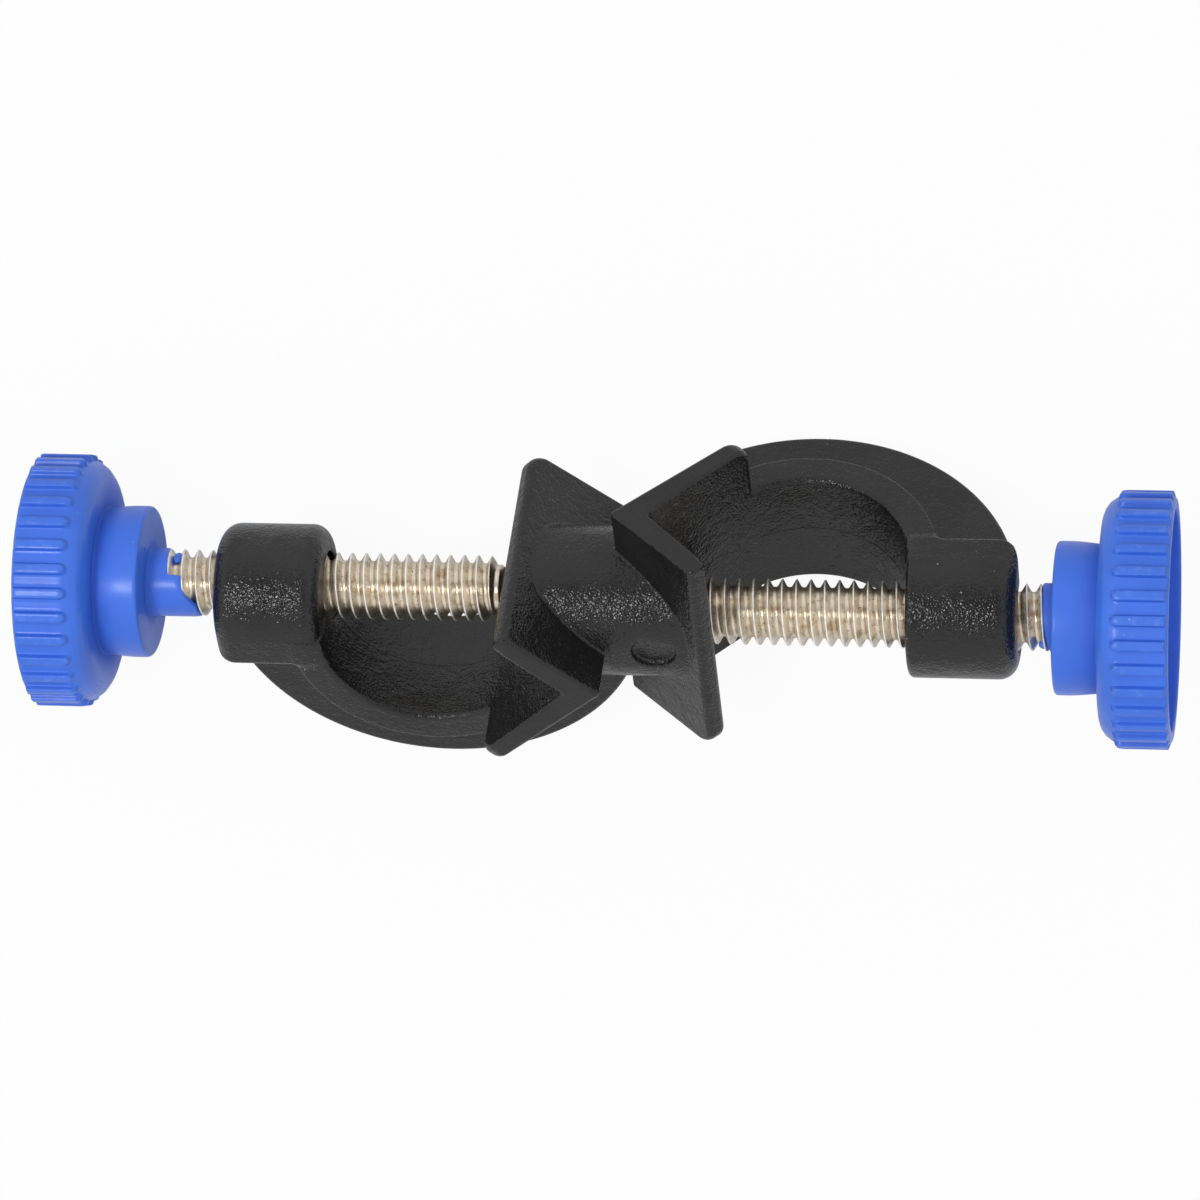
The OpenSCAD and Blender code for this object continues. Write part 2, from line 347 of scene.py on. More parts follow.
def jaw_distance(s, x, d, w):
    """A V of two plates: the space between an outer and an inner wedge, cut off square at the plates'
    tips and at the two ends of the groove. Each plate gets thinner towards its tip."""
    in_arm, in_free = (HALF * (side * d - (x - s.jaw_seat)) for side in (1, -1))
    up_arm, up_free = (HALF * (x - s.jaw_seat + side * d) for side in (1, -1))
    taper = math.tan(s.jaw_taper)
    outer = both(
        in_arm + taper * up_arm - s.jaw_wall, in_free + taper * up_free - s.jaw_wall, s.crisp_edge
    )
    groove = both(in_arm, in_free, s.crisp_edge)
    plates = np.maximum(outer, -groove)
    arm_tip, free_tip = up_arm - s.arm_reach / HALF, up_free - s.free_reach / HALF
    tips = np.maximum(arm_tip, free_tip)
    corner = np.where((w > 0) & (free_tip > arm_tip), s.near_corner, s.jaw_corner)
    rim = both(tips, abs(w) - s.jaw_length / 2, corner)
    # The edges get rounder towards the tips
    near_tip = np.clip(1 + tips / s.jaw_corner, 0, 1)
    return both(plates, rim, s.crisp_edge + (s.tip_edge - s.crisp_edge) * near_tip)


def arm_distance(s, x, d, w):
    """A half ring with a T section: a flange whose faces slope away from the middle, and a rib round it."""
    radius = np.hypot(x - s.arm_centre, d)
    inner = s.arm_r + math.tan(s.draft) * abs(w) - radius
    outer = radius - s.flange_r
    # On its lower side the flange is narrower where it meets the boss and wider past it
    past_boss = d / s.boss_rise - 1
    lip = s.flange_lip * np.clip(past_boss, 0, 1) - s.flange_tuck * np.clip(-past_boss, 0, 1)
    side = abs(w + lip / 2) - (s.flange_w + lip) / 2
    flange = np.maximum(both(inner, side, s.flange_inner), both(outer, side, s.flange_outer))
    rib = np.maximum((s.arm_r + s.flange_r) / 2 - radius, radius - s.rib_r)
    rib = both(rib, abs(w) - s.rib_w / 2, s.rib_edge)
    ring = join(flange, rib, s.rib_fillet)
    # The groove stays clear as far as the place where the arm's curve leaves the plate
    groove = HALF * np.maximum(s.jaw_seat + abs(d) - x, x + abs(d) - s.arm_centre)
    return np.maximum(np.maximum(ring, -d), -groove)


def boss_distance(s, x, d, w, inner_edge):
    """A short round bar with straight sides towards the arm, rounded at both of its ends."""
    bar = np.hypot(w, np.minimum(d, 0)) - s.boss_d / 2
    bar = both(bar, d - s.boss_rise, s.boss_top)
    bar = both(bar, BOSS_END - s.boss_length - x, inner_edge)
    return both(bar, x - BOSS_END, s.boss_outer)


def side_distance(s, x, d, w, inner_edge):
    """One side of the casting: x runs out along the screw, d towards the arm and w along the groove."""
    beyond = join(arm_distance(s, x, d, w), boss_distance(s, x, d, w, inner_edge), s.fillet)
    hole = np.maximum(np.hypot(d, w + s.hole_offset) - s.hole_d / 2, s.arm_centre - x)
    beyond = both(beyond, -hole, s.hole_edge)
    return join(jaw_distance(s, x, d, w), beyond, s.seam_fillet)


def mark_distance(s, x, side, up):
    """The space over the pin mark: a round bar whose end slopes, so that one edge of it lies deeper."""
    up = up - s.neck_d / 2 + s.mark_depth
    over = up * math.cos(s.mark_tilt) - side * math.sin(s.mark_tilt)
    along = side * math.cos(s.mark_tilt) + up * math.sin(s.mark_tilt)
    return both(np.hypot(x, along) - s.mark_d / 2, -over, s.mark_corner)


def casting_distance(s, points):
    """The whole casting: the neck, the mark in it and the two sides, the left one being the right one
    after half a turn. Points are given along the screws, the right arm and the right groove."""
    x, p, q = points.T
    neck = np.hypot(p, q) - s.neck_d / 2
    flat = np.where(x > 0, abs(p), abs(q)) - s.neck_flat + math.tan(s.neck_taper) * abs(x)
    neck = both(neck, flat, s.neck_edge)
    # The neck stops three quarters of the way through the plates of each jaw
    stop = s.jaw_seat - s.jaw_wall / HALF / 4
    neck = np.maximum(neck, HALF * np.maximum(x - stop - abs(p), -x - stop - abs(q)))
    neck = both(neck, -mark_distance(s, x - s.mark_x, q - s.mark_side, -p), s.mark_rim)
    right = side_distance(s, x, p, q, s.right_inner)
    left = side_distance(s, -x, -q, -p, s.left_inner)
    sides = np.minimum(right, left)
    return join(neck, sides, s.neck_fillet)


def in_batches(distance, points, batch=50000):
    """The same distances, worked out a batch of points at a time to spare memory."""
    return np.concatenate([distance(points[k : k + batch]) for k in range(0, len(points), batch)])


def slope_of(distance, points, reach=0.02):
    """The way out of the solid at each point: the difference of distance across a small step each way."""
    out = np.empty_like(points)
    for axis in range(3):
        step = np.zeros(3)
        step[axis] = reach
        out[:, axis] = in_batches(distance, points + step) - in_batches(distance, points - step)
    return out / np.maximum(np.linalg.norm(out, axis=1), 1e-9)[:, None]


def skin(distance, low, high, cell, coarse=4):
    """Draws the surface on which the distance is nought, on a net of small cubes.

    Each cube that the surface crosses gets one point: the place that lies nearest to the planes which
    touch the surface where it crosses the cube's edges. Each crossed edge gets the face between the
    four cubes round it."""
    count = np.ceil((high - low) / (cell * coarse)).astype(int)
    big = cell * coarse
    middles = np.stack(np.meshgrid(*(np.arange(n) + 0.5 for n in count), indexing="ij"), -1)
    far = in_batches(distance, low + big * middles.reshape(-1, 3)).reshape(count)
    near = abs(far) < big
    for axis in range(3):
        far, near = (np.repeat(block, coarse, axis) for block in (far, near))
    # A corner of the net is worked out if any cube round it may be crossed
    corners = np.zeros(np.array(near.shape) + 1, bool)
    for shift in np.ndindex(2, 2, 2):
        corners[tuple(slice(k, k + n) for k, n in zip(shift, near.shape))] |= near
    field = np.pad(far, ((0, 1),) * 3, mode="edge")
    places = np.argwhere(corners)
    field[corners] = in_batches(distance, low + cell * places)
    # A corner that lies on the surface counts as outside
    least = 1e-6
    field[abs(field) < least] = least
    inside = field < 0
    ends, rings, flips = [], [], []
    strides = np.array([near.shape[1] * near.shape[2], near.shape[2], 1])
    for axis in range(3):
        first = tuple(slice(None, -1) if k == axis else slice(None) for k in range(3))
        second = tuple(slice(1, None) if k == axis else slice(None) for k in range(3))
        start = np.argwhere(inside[first] != inside[second])
        step = np.eye(3, dtype=int)[axis]
        here, there = field[tuple(start.T)], field[tuple((start + step).T)]
        along = here / (here - there)
        at = low + cell * (start + along[:, None] * step)
        along = np.clip(along - in_batches(distance, at) / (there - here), 0, 1)
        ends.append(low + cell * (start + along[:, None] * step))
        b, c = np.roll(np.eye(3, dtype=int), -axis, 0)[1:]
        around = np.stack([start - b - c, start - c, start, start - b], 1)
        rings.append(around @ strides)
        flips.append(here > 0)
    at, rings, flips = np.concatenate(ends), np.concatenate(rings), np.concatenate(flips)
    out = slope_of(distance, at)
    cubes, owner = np.unique(rings, return_inverse=True)
    owner = owner.reshape(-1)
    crossing = np.repeat(np.arange(len(at)), 4)
    total = np.bincount(owner).astype(float)
    mean = np.stack([np.bincount(owner, at[crossing, k]) for k in range(3)], 1) / total[:, None]
    normal = out[crossing]
    off = np.einsum("ij,ij->i", normal, at[crossing] - mean[owner])
    square = np.empty((len(cubes), 3, 3))
    for j, k in np.ndindex(3, 3):
        square[:, j, k] = np.bincount(owner, normal[:, j] * normal[:, k])
    side = np.stack([np.bincount(owner, normal[:, k] * off) for k in range(3)], 1)
    # A light pull towards the mean keeps the point steady where the surface is flat
    pull = 0.05
    square += pull * total[:, None, None] * np.eye(3)
    points = mean + np.clip(np.linalg.solve(square, side[:, :, None])[:, :, 0], -cell, cell)
    for _ in range(2):
        points -= slope_of(distance, points) * in_batches(distance, points)[:, None]
    faces = owner.reshape(-1, 4)
    faces[flips] = faces[flips][:, ::-1]
    return points, faces


def to_row(across):
    """Turns points or directions from along the screws, the right arm and the right groove to the frame."""
    x, p, q = across.T
    return np.stack([x, HALF * (p + q), HALF * (q - p)], 1)


def from_row(points):
    """Undoes to_row for points or directions: along the screws, the right arm and the right groove."""
    x, y, z = points.T
    return np.stack([x, HALF * (y - z), HALF * (y + z)], 1)


def thin_out(piece, most):
    """Takes flat triangles out of a mesh until no more than so many are left."""
    piece.data.calc_loop_triangles()
    ratio = most / len(piece.data.loop_triangles)
    if ratio >= 1:
        return
    thinning = piece.modifiers.new("Thin out", "DECIMATE")
    thinning.ratio = ratio
    thinned = bpy.data.meshes.new_from_object(
        piece.evaluated_get(bpy.context.evaluated_depsgraph_get())
    )
    piece.modifiers.remove(thinning)
    piece.data = thinned


def add_values(mesh, name, values):
    """Gives each point of a mesh its own value under a name that a finish can read."""
    mesh.attributes.new(name, "FLOAT", "POINT").data.foreach_set("value", values.astype(np.float32))


class OBJECT_OT_boss_head_casting(bpy.types.Operator):
    """Add the black coated casting: neck, jaws, arms and bosses in one piece"""

    bl_idname = "object.boss_head_casting"
    bl_label = "Casting"

    def execute(self, context):
        s = sizes(context.scene.boss_head_casting)
        # From the clamp's middle to the centre of each arm's curve
        s.arm_centre = BOSS_END - s.rib_inset - s.rib_r

        def distance(points):
            return casting_distance(s, points)

        around = 2 * s.cell
        width = s.jaw_length / 2 + around
        reach = s.rib_r + around
        low = np.array([-BOSS_END - around, -width, -reach])
        high = np.array([BOSS_END + around, reach, width])
        points, faces = skin(distance, low, high, s.cell)
        piece = new_piece(
            "casting", to_row(points) + NECK, faces, "clamp_body", coating(s), "clamp_body"
        )
        thin_out(piece, MOST_TRIANGLES)
        mesh = piece.data
        at = np.empty(len(mesh.vertices) * 3)
        mesh.vertices.foreach_get("co", at)
        at = from_row(at.reshape(-1, 3) * MM - NECK)
        out = slope_of(distance, at)
        # Just under the skin a point near a sharp edge lies less deep than elsewhere
        under = 0.7
        add_values(mesh, "edge", np.clip(1 + in_batches(distance, at - under * out) / under, 0, 1))
        right = at[:, 0] > 0
        across = np.where(right, at[:, 2], -at[:, 1])
        add_values(mesh, "across", across)
        side = np.where(right[:, None], at, np.stack([-at[:, 0], -at[:, 2], -at[:, 1]], 1))
        in_jaw = jaw_distance(s, *side.T)
        past_jaw = side[:, 0] - s.jaw_seat - s.arm_reach
        add_values(mesh, "arm", np.clip(np.minimum(past_jaw, side[:, 1] - s.boss_rise), 0, 1))
        # The jaws' flat ends, which face along the groove, have less grain
        facing = abs(np.where(right, out[:, 2], out[:, 1]))
        add_values(mesh, "smooth_end", np.interp(facing, (0.8, 0.95), (0, 1)) * (in_jaw < 0.1))
        mesh.normals_split_custom_set_from_vertices(to_row(out))
        return {"FINISHED"}


# Screws

# Slope of the thread's sides
THREAD_SLOPE = math.radians(30)


def thread_depth(s, phase):
    """How far the thread lies under its crest, a given part of a pitch away from it: a V groove with
    sides at 60 degrees, cut off flat at the crest and rounded at the root."""
    away = abs((phase + 0.5) % 1.0 - 0.5) * s.pitch
    deep = (away - s.crest / 2) / math.tan(THREAD_SLOPE)
    low = np.clip((deep - s.depth) / s.root / 2 + 0.5, 0, 1)
    deep = deep * (1 - low) + s.depth * low - s.root * low * (1 - low)
    return np.maximum(deep, 0)


class OBJECT_OT_boss_head_screws(bpy.types.Operator):
    """Add the two hand screws with their threads"""

    bl_idname = "object.boss_head_screws"
    bl_label = "Hand screws"

    def execute(self, context):
        s = sizes(context.scene.boss_head_screws)
        finish = plating(s)
        for name in SIDES:
            self.build(name, s, screw_place(context, name), finish)
        return {"FINISHED"}

    def build(self, name, s, place, finish):
        """Rows follow the helix: a row's place is its turn times the pitch, cut off at the screw's ends,
        and its radius is the thread's, no more than the point, its chamfers and the shank allow."""
        columns = 80
        crest = s.crest / 2 / s.pitch
        root = s.depth * math.tan(THREAD_SLOPE) / s.pitch + crest
        # Places as parts of a pitch, closer together at the edges of the crest and of the root
        half_row = np.array(
            [0, crest, crest + 0.02, 0.12, 0.2, root - 0.06, root - 0.02, root + 0.03, 0.44]
        )
        row = np.concatenate([half_row, [0.5], 1 - half_row[:0:-1]])
        turns = math.ceil((place.shank_end - place.point_end) / s.pitch) + 3
        phase = (np.arange(turns)[:, None] + row).reshape(-1, 1)
        lean = np.arange(columns) / columns
        start = math.floor(place.point_end / s.pitch) - 2
        x = np.clip((phase + lean + start) * s.pitch, place.point_end, place.shank_end)
        along = x - place.point_end
        bevel = np.clip((along - s.point_length) / s.point_chamfer + 1, 0, 1)
        point = s.point_d / 2 + bevel * (s.thread_d - s.point_d) / 2
        limit = np.minimum(point, s.point_d / 2 - s.point_edge + along)
        limit = np.where(x < 0, limit, s.shank_d / 2)
        # The shank's very end is as thin as the thread's root, so that it is a plain circle
        limit = np.where(x < place.shank_end, limit, s.thread_d / 2 - s.depth)
        radius = np.minimum(s.thread_d / 2 - thread_depth(s, phase), limit)
        turn = TURN * lean + {"left": s.left_phase, "right": s.right_phase}[name]
        points = around_axis(place, x, radius, np.broadcast_to(turn, x.shape)).reshape(-1, 3)
        # One turn further on, a row has moved by as many rows as a pitch holds
        faces = ring_faces(len(phase), columns, len(row))
        piece = new_piece(
            name + "_screw_thread", points, faces, name + "_knob", finish, name + "_screw"
        )
        deep = (s.thread_d / 2 - radius) / s.depth
        add_values(piece.data, "deep", deep.clip(0, 1).reshape(-1))
        close_surface(piece)


def knob_place(context, name):
    """Where a knob lies: the face of its hub, the way out along its axis, and the axis itself."""
    out = -1 if name == "left" else 1
    low, high = (MM * np.array(corner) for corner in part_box(name + "_knob"))
    screw_low, screw_high = (MM * np.array(corner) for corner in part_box(name + "_screw"))
    edge = low[0] if out < 0 else high[0]
    axis = (screw_low + screw_high) / 2
    knob_length = MM * context.scene.boss_head_knobs.knob_length
    return SimpleNamespace(hub=edge - out * knob_length, out=out, y=axis[1], z=axis[2])


def screw_place(context, name):
    """The same, with the screw's two ends, as they lie along the axis from the hub's face."""
    place = knob_place(context, name)
    low, high = (MM * np.array(corner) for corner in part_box(name + "_screw"))
    place.point_end, place.shank_end = sorted(place.out * (end[0] - place.hub) for end in (low, high))
    return place


def around_axis(place, x, radius, turn):
    """Points round a screw's axis: x out from the hub's face, and the turn is right-handed about it,
    from straight up."""
    return np.stack(
        [
            place.hub + place.out * x,
            place.y - place.out * radius * np.sin(turn),
            place.z + radius * np.cos(turn),
        ],
        -1,
    )


# Knobs

# Length of the plastic that has crept along the thread, by the turn round the axis in degrees
FLASH = {
    "left": (
        (-180, 2.6), (-120, 5.0), (-90, 6.3), (-48, 6.0), (-25, 4.95), (-3, 4.4), (14, 4.25),
        (16, 2.75), (50, 2.45), (90, 2.3), (180, 2.6),
    ),
    "right": ((-180, 1.5), (-90, 1.6), (0, 1.3), (60, 0.7), (90, 0.5), (180, 1.5)),
}
# Beads of plastic in the thread's groove: middle and half length along the axis, middle and half width
# of the turn in degrees
BEADS = {"left": (-3.45, 0.5, 68, 20), "right": (-1.35, 0.62, 75, 26)}
# From the axis to the beads' middles, and half of the beads' height
BEAD_R, BEAD_RISE = 3.35, 0.42
# Share of a rib's sloping side that lies outside the rib's outline
RIB_FOOT = 0.4


class OBJECT_OT_boss_head_knobs(bpy.types.Operator):
    """Add the two ribbed knobs"""

    bl_idname = "object.boss_head_knobs"
    bl_label = "Knobs"

    def execute(self, context):
        s = sizes(context.scene.boss_head_knobs)
        finish = plastic(s)
        for name in SIDES:
            self.build(name, s, knob_place(context, name), finish)
        return {"FINISHED"}

    def build(self, name, s, place, finish):
        """A profile turned about the axis. The rim's radius rises on the ribs, and the collar's end
        follows the edge of the plastic that has crept along the thread."""
        period = math.pi * s.rim_d / s.rib_count
        side = s.rib_w / 2
        over = s.rib_edge * np.linspace(RIB_FOOT - 1, RIB_FOOT, 7)
        valley = (side + s.rib_edge + period / 2) / 2
        places = np.concatenate([[0, (side - s.rib_edge) / 2], side + over, [valley]])
        places = np.concatenate([-places[:0:-1], places, [period / 2]])
        turn = (np.arange(s.rib_count)[:, None] + places / period).reshape(-1) / s.rib_count * TURN
        begin = {"left": s.left_phase, "right": s.right_phase}[name]
        turn = turn + begin
        rim, hub = s.rim_d / 2, s.hub_d / 2
        bore, collar = s.bore_d / 2, s.collar_d / 2
        back = s.knob_length - s.cup_depth
        # Steps on the faces that show, and on the plain walls of the bore and the hollow
        fine, coarse = 0.35, 4.0
        # The collar is one long here, and is stretched to its own length afterwards
        line = rounded_line([
            (s.bore_depth, 0, 0, coarse),
            (s.bore_depth, bore, s.collar_edge, coarse),
            (-1, bore, s.collar_edge / 2, coarse),
            (-1, collar, s.collar_edge, fine),
            (0, collar, s.collar_root, fine),
            (0, hub, s.hub_edge, fine),
            (s.crown_place * s.hub_length, hub + s.crown, s.crown_r, fine),
            (s.hub_length, hub - s.hub_taper, s.hub_root, fine),
            (s.hub_length, rim, s.shoulder_r, fine),
            (s.knob_length, rim, s.lip_r, fine),
            (s.knob_length, rim - s.rim_wall, s.lip_r / 2, fine),
            (back, rim - s.rim_wall, s.cup_corner, coarse),
            (back, 0, 0, coarse),
        ], fine)
        x = np.repeat(line[:, :1], len(turn), 1)
        radius = np.repeat(line[:, 1:], len(turn), 1)
        degrees = np.degrees((turn + math.pi) % TURN - math.pi)
        ends, lengths = np.array(FLASH[name]).T
        x = np.where(x < 0, x * np.interp(degrees, ends, lengths), x)
        arc = np.tile(places, s.rib_count)[None, :]
        # The ribs stand on the rows from the shoulder to the rim's edge
        past_edge = np.cumsum(line[:, 0] >= s.knob_length - 1e-6) > 0
        outer = (line[:, 1] > rim - s.shoulder_r) & ~past_edge
        height = rib_height(s, x, arc) * outer[:, None]
        radius = radius + height
        points = around_axis(place, x, radius, np.broadcast_to(turn, x.shape)).reshape(-1, 3)
        faces = ring_faces(len(line), len(turn))
        bead_points, bead_faces = bead(place, BEADS[name], len(points))
        piece = new_piece(
            name + "_knob_moulding",
            np.concatenate([points, bead_points]),
            faces + bead_faces,
            name + "_knob",
            finish,
            name + "_knob",
        )
        mesh = piece.data
        raised = np.concatenate([(height / s.rib_rise).reshape(-1), np.zeros(len(bead_points))])
        add_values(mesh, "raised", raised)
        # Painted shade near the hub's root and the collar's root, where shade falls; the plastic is also
        # made rougher there
        root = np.hypot(x - s.hub_length, line[:, 1:] - hub)
        step = np.hypot(x, line[:, 1:] - collar)
        painted_shade = np.maximum(1 - root / s.root_painted_shade, 1 - step / s.collar_painted_shade).clip(0) ** 2
        add_values(mesh, "painted_shade", np.concatenate([painted_shade.reshape(-1), np.zeros(len(bead_points))]))
        close_surface(piece)


def rib_height(s, x, arc):
    """A rib with soft sides, round at the hub's end and square at the rim's edge: its height rises from
    nought just outside the outline to its full height just inside."""
    side = s.rib_w / 2
    past_end = np.maximum(s.rib_start + side - x, 0)
    outline = np.hypot(np.abs(arc), past_end) - side
    outline = np.maximum(outline, x - (s.knob_length - s.rib_inset))
    rise = np.clip(RIB_FOOT - outline / s.rib_edge, 0, 1)
    return s.rib_rise * rise * rise * (3 - 2 * rise)


def bead(place, shape, first):
    """An egg-shaped bead bent round the screw's axis: u runs from one end of the bead to the other by the
    turn, and v round it."""
    middle, long, at, wide = shape
    rows, columns = 13, 24
    u, v = np.meshgrid(np.linspace(0, math.pi, rows), np.arange(columns) / columns * TURN, indexing="ij")
    x = middle + long * np.sin(u) * np.cos(v)
    radius = BEAD_R + BEAD_RISE * np.sin(u) * np.sin(v)
    turn = np.radians(at + wide * np.cos(u))
    points = around_axis(place, x, radius, turn).reshape(-1, 3)
    faces = [[first + k for k in face] for face in ring_faces(rows, columns)]
    return points, faces


# Finishes


class Recipe:
    """A material or world and short ways to add its nodes."""

    def __init__(self, tree):
        self.tree = tree
        tree.nodes.clear()

    def add(self, kind, *values, **options):
        """Adds a node. Options that the node has are set, and the rest name its sockets."""
        made = self.tree.nodes.new("ShaderNode" + kind)
        for key, value in options.items():
            if hasattr(made, key):
                setattr(made, key, value)
        for key, value in [*enumerate(values), *options.items()]:
            if isinstance(key, int) or not hasattr(made, key):
                socket = made.inputs[key if isinstance(key, int) else key.replace("_", " ")]
                if isinstance(value, bpy.types.NodeSocket):
                    self.tree.links.new(value, socket)
                else:
                    socket.default_value = value
        return made

    def maths(self, operation, *values):
        return self.add("Math", *values, operation=operation).outputs[0]

    def ramp(self, value, low, high, start=0.0, end=1.0):
        made = self.add("MapRange", value, low, high, start, end, interpolation_type="SMOOTHSTEP")
        return made.outputs[0]

    def mix(self, factor, low, high):
        made = self.add("Mix", data_type="RGBA")
        for socket, value in zip((made.inputs[0], made.inputs[6], made.inputs[7]), (factor, low, high)):
            if isinstance(value, bpy.types.NodeSocket):
                self.tree.links.new(value, socket)
            else:
                socket.default_value = value if socket.type == "VALUE" else (*value[:3], 1.0)
        return made.outputs[2]

    def noise(self, where, size, detail=2.0, roughness=0.5):
        """Noise whose lumps are about so many millimetres across."""
        made = self.add(
            "TexNoise", Vector=where, Scale=MM / size, Detail=detail, Roughness=roughness
        )
        return made.outputs[0]

    def value_of(self, name):
        return self.add("Attribute", attribute_name=name).outputs["Fac"]

    def bump(self, height, mm, strength=1.0, under=None):
        made = self.add("Bump", Height=height, Distance=mm / MM, Strength=strength)
        if under is not None:
            self.tree.links.new(under, made.inputs["Normal"])
        return made.outputs[0]

    def end(self, shader, kind="OutputMaterial"):
        self.tree.links.new(shader.outputs[0], self.add(kind).inputs[0])


def new_recipe(name):
    material = bpy.data.materials.new(name)
    material.use_nodes = True
    recipe = Recipe(material.node_tree)
    return material, recipe, recipe.add("TexCoord").outputs["Object"]


def coating(s):
    """Black baked coating with a leathery grain, lighter on its edges, partly where it is rubbed and partly
    as a painted highlight.
    """
    material, r, where = new_recipe("black coating")
    smooth = r.value_of("smooth_end")
    edge = r.value_of("edge")
    grain = r.noise(where, size=0.34, detail=1.0)
    pebbles = r.add("TexVoronoi", Vector=where, Scale=MM / 0.31).outputs["Distance"]
    lumps = r.noise(where, size=0.8, detail=1.0)
    swell = r.noise(where, size=2.5, detail=1.0)
    patch = r.noise(where, size=9.0, detail=3.0)
    scuffs = r.maths("MULTIPLY", r.noise(where, size=1.1, detail=3.0), 0.5)
    # Lighter convex edges: partly rubbed coating, partly a painted highlight along the edges
    rub = r.ramp(r.maths("ADD", edge, scuffs), 0.72, 1.2)
    tone = r.mix(r.ramp(patch, 0.35, 0.7), s.black, [1.5 * c for c in s.black])
    tone = r.mix(r.maths("MULTIPLY", rub, 0.7), tone, s.worn_and_highlight)
    speck = r.ramp(r.noise(where, size=0.55, detail=1.0), 0.80, 0.84)
    tone = r.mix(r.maths("MULTIPLY", speck, 0.8), tone, s.speck)
    rough = r.ramp(patch, 0.3, 0.75, 0.16, 0.22)
    heights = r.bump(swell, 0.2, 0.8)
    heights = r.bump(lumps, 0.12, r.ramp(smooth, 0, 1, 0.8, 0.3), heights)
    heights = r.bump(grain, 0.06, r.ramp(smooth, 0, 1, 1.0, 0.4), heights)
    domes = r.maths("MULTIPLY_ADD", r.maths("MULTIPLY", pebbles, pebbles), -3.0, 1.0)
    heights = r.bump(domes, 0.017, r.ramp(smooth, 0, 1, 1.0, 0.3), heights)
    seam = r.ramp(r.maths("ABSOLUTE", r.value_of("across")), 0.05, 0.2, 1.0, 0.0)
    heights = r.bump(r.maths("MULTIPLY", seam, r.value_of("arm")), 0.05, 1.0, heights)
    r.end(r.add(
        "BsdfPrincipled", Base_Color=tone, Roughness=rough, Normal=heights, Specular_IOR_Level=0.38
    ))
    return material


def plating(s):
    """Nickel plate over a rolled thread, with brown patches and small dark pits."""
    material, r, where = new_recipe("nickel plating")
    patch = r.noise(where, size=1.2, detail=4.0, roughness=0.6)
    pits = r.ramp(r.noise(where, size=0.35, detail=2.0), 0.64, 0.72)
    deep = r.value_of("deep")
    # The crests are rubbed pale, partly as a painted highlight, and the roots are dull
    crest = r.ramp(deep, 0.02, 0.13, 1.0, 0.0)
    crest = r.maths("MULTIPLY", crest, r.ramp(r.noise(where, size=0.7, detail=2.0), 0.3, 0.6, 0.35, 1.0))
    dull = r.maths("MULTIPLY", deep, 0.45)
    tone = r.mix(r.maths("ADD", dull, r.ramp(patch, 0.48, 0.75)), s.nickel, s.tarnish)
    tone = r.mix(r.maths("MULTIPLY", pits, 0.8), tone, s.pit)
    tone = r.mix(crest, tone, s.rubbed)
    metal = r.maths("MULTIPLY_ADD", crest, -0.45, 1.0)
    rough = r.ramp(patch, 0.3, 0.7, 0.28, 0.38)
    heights = r.bump(r.noise(where, size=0.3, detail=2.0), 0.02, 0.5)
    r.end(r.add("BsdfPrincipled", Base_Color=tone, Metallic=metal, Roughness=rough, Normal=heights))
    return material


def plastic(s):
    """Blue moulded plastic, a little cloudy, with specks, rubbed ribs and painted shade in its corners and
    along the ribs' sides.
    """
    material, r, where = new_recipe("blue plastic")
    cloud = r.noise(where, size=7.0, detail=3.0)
    tone = r.mix(r.ramp(cloud, 0.3, 0.7), s.blue, [0.9 * c for c in s.blue])
    raised = r.value_of("raised")
    scuffs = r.ramp(r.noise(where, size=1.3, detail=4.0, roughness=0.65), 0.5, 0.75)
    rub = r.maths("MULTIPLY", scuffs, raised)
    tone = r.mix(r.maths("MULTIPLY", rub, 0.25), tone, s.scuffed)
    fleck = r.ramp(r.noise(where, size=0.5, detail=1.0), 0.81, 0.84)
    tone = r.mix(r.maths("MULTIPLY", fleck, 0.6), tone, s.fleck)
    # Painted shade near the hub's and the collar's roots
    painted_shade = r.value_of("painted_shade")
    # Painted shade along the sloping sides of the ribs, mixed with the painted shade of the corners
    walls = r.maths("MULTIPLY", raised, r.maths("SUBTRACT", 1.0, raised))
    dark = r.maths("MAXIMUM", r.maths("MULTIPLY", painted_shade, 0.55), r.maths("MULTIPLY", walls, 1.1))
    tone = r.mix(dark, tone, s.shaded)
    rough = r.maths("MULTIPLY_ADD", painted_shade, 0.4, r.ramp(cloud, 0.3, 0.7, 0.27, 0.34))
    heights = r.bump(r.noise(where, size=0.5, detail=3.0), 0.012, 0.4)
    r.end(r.add(
        "BsdfPrincipled", Base_Color=tone, Roughness=rough, Normal=heights, Specular_IOR_Level=0.38
    ))
    return material


# Stage


class OBJECT_OT_boss_head_stage(bpy.types.Operator):
    """Add the pale floor, the soft light and the camera"""

    bl_idname = "object.boss_head_stage"
    bl_label = "Stage"

    def execute(self, context):
        s = sizes(context.scene.boss_head_stage)
        scene = context.scene
        scene.view_settings.view_transform = "Standard"
        add_floor(s)
        add_sky(scene, s)
        add_lamp(s)
        add_card(s)
        add_camera(scene, s)
        return {"FINISHED"}


def add_floor(s):
    """A flat square that the camera sees as nearly plain white, with the clamp's shadow left on it."""
    reach = 3.0
    mesh = bpy.data.meshes.new("floor")
    corners = [(-reach, -reach, 0), (reach, -reach, 0), (reach, reach, 0), (-reach, reach, 0)]
    mesh.from_pydata(corners, [], [(0, 1, 2, 3)])
    floor = bpy.data.objects.new("floor", mesh)
    bpy.context.scene.collection.objects.link(floor)
    material, r, _ = new_recipe("pale floor")
    diffuse = r.add("BsdfDiffuse", Color=(*s.floor_grey, 1.0))
    glow = r.add("Emission", Color=(1.0, 1.0, 1.0, 1.0), Strength=1.0)
    kept = r.maths("MULTIPLY", r.add("LightPath").outputs["Is Camera Ray"], s.floor_glow)
    r.end(r.add("MixShader", kept, diffuse.outputs[0], glow.outputs[0]))
    mesh.materials.append(material)


